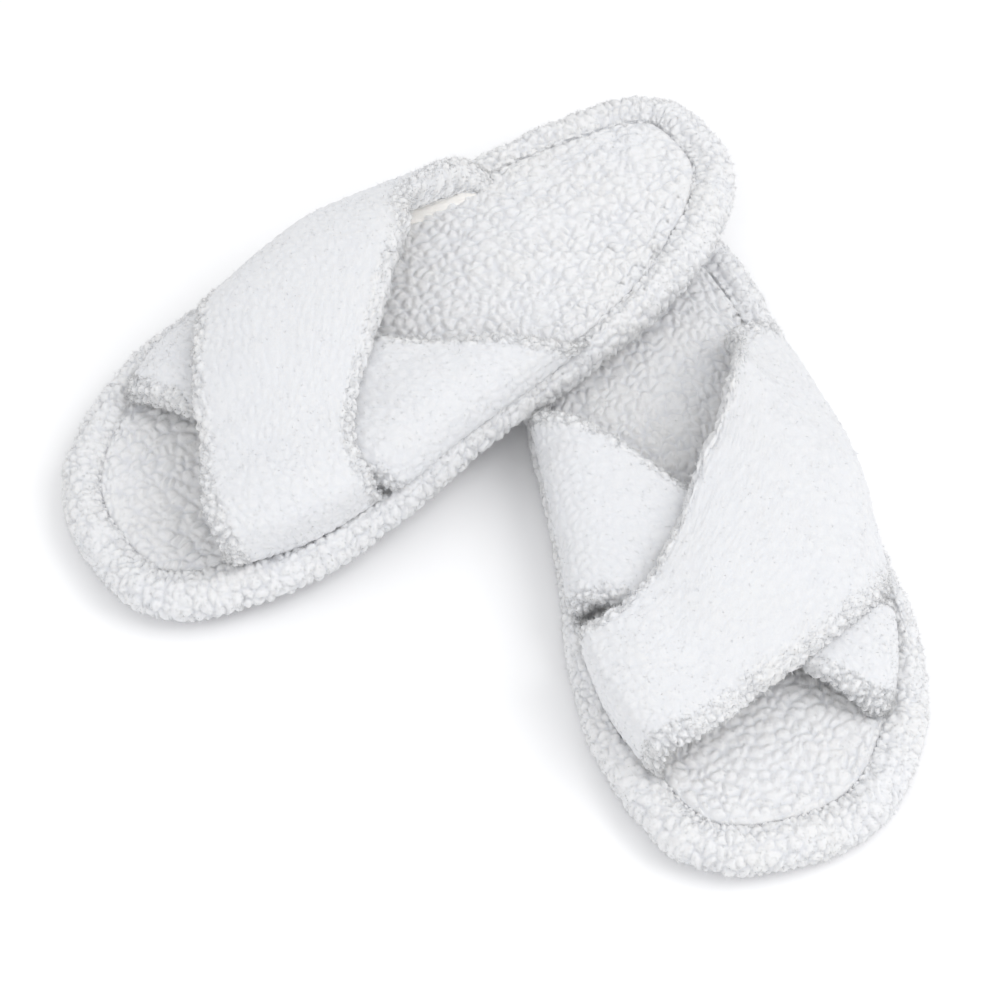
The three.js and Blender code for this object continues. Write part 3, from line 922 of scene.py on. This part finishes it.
def strap_grid(side, strap, loop, count, low=0.0, high=1.0):
    """Sections across a strap, at shares of its length that lie closer together near the seams."""
    t = np.linspace(0, 1, count)
    s = (low + (high - low) * (t - np.sin(2 * np.pi * t) / 12))[:, None]
    narrow, wide = np.concatenate(loop(NARROW)), np.concatenate(loop(WIDE))
    half = (edge_y(side, strap, "front", s) - edge_y(side, strap, "rear", s)) / 2
    across = narrow[:, 0] + (wide - narrow)[:, 0] * (half - NARROW) / (WIDE - NARROW)
    return strap_point(side, strap, s, across, narrow[:, 1] + 0 * across)


def cloth_places(grid):
    """Each point's place on the flat cloth, in nubs: length along the arch, and length round the section."""
    mid = grid[:, grid.shape[1] // 3]
    along = np.concatenate([[0], np.cumsum(np.linalg.norm(np.diff(mid[:, [0, 2]], axis=0), axis=1))])
    round_it = length_round(grid)
    centre = round_it[:, [grid.shape[1] // 3]]
    return along[:, None] / NUB + 0 * round_it, (mid[:, [1]] + round_it - centre) / NUB


# %% Covers
COVER_SEEDS = {"left": {"under": 400, "over": 460}, "right": {"under": 1000, "over": 1060}}
COVER_SECTIONS = 230
FACE_RELIEF, ROLL_RELIEF, COVER_SWELL = 0.5, 1.4, 0.45
ROLL_REACH, ROLL_BLEND = 5, 12
COVER_CREVICE = 0.6
COVER_FIBRES, COVER_FIBRE_LENGTH = 11000, 1.8


def make_cover(side, strap):
    """Cover with soft pile on top and a deeper, tufted pile on the rolled edges. Its painted crevice shade
    keeps nearer the middle tone than the rand's, and the rolls are painted a little lighter, as painted light
    against the shade that falls on them."""
    seed = COVER_SEEDS[side][strap]
    grid = strap_grid(side, strap, cover_loop, COVER_SECTIONS)
    a, b = cloth_places(grid)
    height = pile(a, b, seed, None, COVER_CREVICE)
    swell = drift(a / 4, b / 4, seed + 30)
    place = np.arange(grid.shape[1])
    shown = smooth(place / 6) * (place < SHOWN) * smooth((SHOWN - place) / 6)
    to_roll = np.minimum(*(np.abs(place - roll) for roll in ROLLS))
    edge = 1 - smooth((to_roll - ROLL_REACH) / ROLL_BLEND)
    depth = FACE_RELIEF + ROLL_RELIEF * edge
    from_end = np.minimum(a, a[-1:] - a) * NUB
    relief = (depth * (height - PILE_MEAN) + COVER_SWELL * swell) * shown * smooth(from_end / 3)
    grid = grid + normals_of(grid, False, True) * relief[..., None]
    # Painted light and shade: the rolled edges are painted lighter, and the pile height paints the crevice
    # shade at less contrast.
    tone = 0.25 + 0.3 * edge + 0.4 * (height - PILE_MEAN) * depth
    chance = (0.03 + edge) * shown * smooth(from_end / 6)
    piece = fleece_piece(
        f"{side}_{strap}_strap_fleece", side, grid, capped_faces(*grid.shape[:2]), tone, (False, True),
        chance, COVER_FIBRES, COVER_FIBRE_LENGTH, seed,
    )
    finish_piece(piece, side, [f"{strap}_strap_cover"], FLEECE)
    return piece


# %% [markdown]
# Under the cover lie a short-napped lining and a thin foam that stops short of the seams. Both are bands
# with square edges, so one function makes them.

# %% Linings and foam
NAP_SEED, NAP_FINENESS, NAP_DEPTH, NAP_LEVEL = 77, 1.6, 0.35, 0.6
LINING_SECTIONS = (150, 0.0, 1.0)
FOAM_SECTIONS = (24, 0.066, 0.934)


def make_band(side, strap, kind, loop, sections, material):
    """The lining or the foam of a strap, with a light nap on the lining."""
    grid = strap_grid(side, strap, loop, *sections)
    a, b = cloth_places(grid)
    height = pile(NAP_FINENESS * a, NAP_FINENESS * b, NAP_SEED, None, COVER_CREVICE)
    if kind == "lining":
        nap = NAP_DEPTH * (height - NAP_LEVEL)
        grid = grid + normals_of(grid, False, True) * nap[..., None]
    name = f"{side}_{strap}_strap_{kind}_band"
    # The nap height kept on the lining sets its painted crevice shade; the foam's finish does not read it.
    piece = new_piece(name, side, grid, capped_faces(*grid.shape[:2]), height)
    finish_piece(piece, side, [f"{strap}_strap_{kind}"], material)
    return piece


for side in POSES:
    for strap in SEATS:
        make_cover(side, strap)
        make_band(side, strap, "lining", lining_loop, LINING_SECTIONS, LINING)
        make_band(side, strap, "foam", foam_loop, FOAM_SECTIONS, FOAM)

# %% [markdown]
# ## The sole's own layers
# The outsole, filler, platform, board and foam of the sole keep their modelled shapes: only their cut edges and
# the tread can be seen, so a finish is all they need.

# %% Finishes of the modelled layers
LAYERS = {
    "outsole": RUBBER,
    "bottom_filler": FOAM,
    "platform": FOAM,
    "insole_board": BOARD,
    "sock_foam": FOAM,
}
for side in POSES:
    for node, material in LAYERS.items():
        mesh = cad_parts[f"{side}_{node}"].data
        mesh.materials.clear()
        mesh.materials.append(material)
print("layers kept:", sorted(LAYERS))

# %% [markdown]
# ## Studio
# White on white reads by its soft shadows alone. A bright even sky does most of the work. Two large lamps
# high on either side give the nubs a lit and a shaded flank, and a weak one in front opens the shadows
# under the straps.

# %% Floor, light and camera


def aimed(name, data, location, forward, up_hint):
    """An object at a place whose -Z looks forward: its axes are sideways, upwards and backwards."""
    forward = unit(np.array(forward, float))
    sideways = unit(np.cross(forward, up_hint))
    axes = np.column_stack([sideways, np.cross(sideways, forward), -forward, location])
    holder = bpy.data.objects.new(name, data)
    holder.matrix_world = Matrix(np.vstack([axes, [0, 0, 0, 1]]).tolist())
    bpy.context.scene.collection.objects.link(holder)
    return holder


centre = np.array((cad_low + cad_high) / 2)
# Each lamp's power in watts, its size, and its place from the middle of the pair, in metres.
LAMPS = {
    "key": (8.0, 0.9, (-0.8, 0.35, 1.3)),
    "fill": (2.0, 1.5, (1.0, 0.7, 1.0)),
    "front": (1.8, 0.6, (0.25, 0.75, 1.1)),
}
for name, (power, size, offset) in LAMPS.items():
    lamp = bpy.data.lights.new(name, "AREA")
    lamp.energy, lamp.size = power, size
    aimed(name, lamp, centre + offset, -np.array(offset), (0, 0, 1))

floor_mesh = bpy.data.meshes.new("floor")
FAR = 4.0
floor_mesh.from_pydata([(-FAR, -FAR, 0), (FAR, -FAR, 0), (FAR, FAR, 0), (-FAR, FAR, 0)], [], [(0, 1, 2, 3)])
floor = bpy.data.objects.new("floor", floor_mesh)
bpy.context.scene.collection.objects.link(floor)
paper = plain_finish("floor_paper", (0.95, 0.95, 0.955, 1), (0.94, 0.94, 0.945, 1), 0.9, 40.0, 0.02)
floor_mesh.materials.append(paper)

world = bpy.data.worlds.new("studio")
world.use_nodes = True
sky = world.node_tree.nodes["Background"]
sky.inputs["Color"].default_value = (0.985, 0.99, 1, 1)
sky.inputs["Strength"].default_value = 0.84
bpy.context.scene.world = world
bpy.context.scene.view_settings.view_transform = "Standard"

CAMERA_PLACE = (0.2081, 0.5747, 0.8879)
CAMERA_LOOK = (-0.13428, -0.55761, -0.81917)
CAMERA_UP = (-0.19178, -0.7964, 0.57355)
view = bpy.data.cameras.new("camera")
view.lens, view.sensor_width = 113.503, 36.0
bpy.context.scene.camera = aimed("camera", view, CAMERA_PLACE, CAMERA_LOOK, CAMERA_UP)
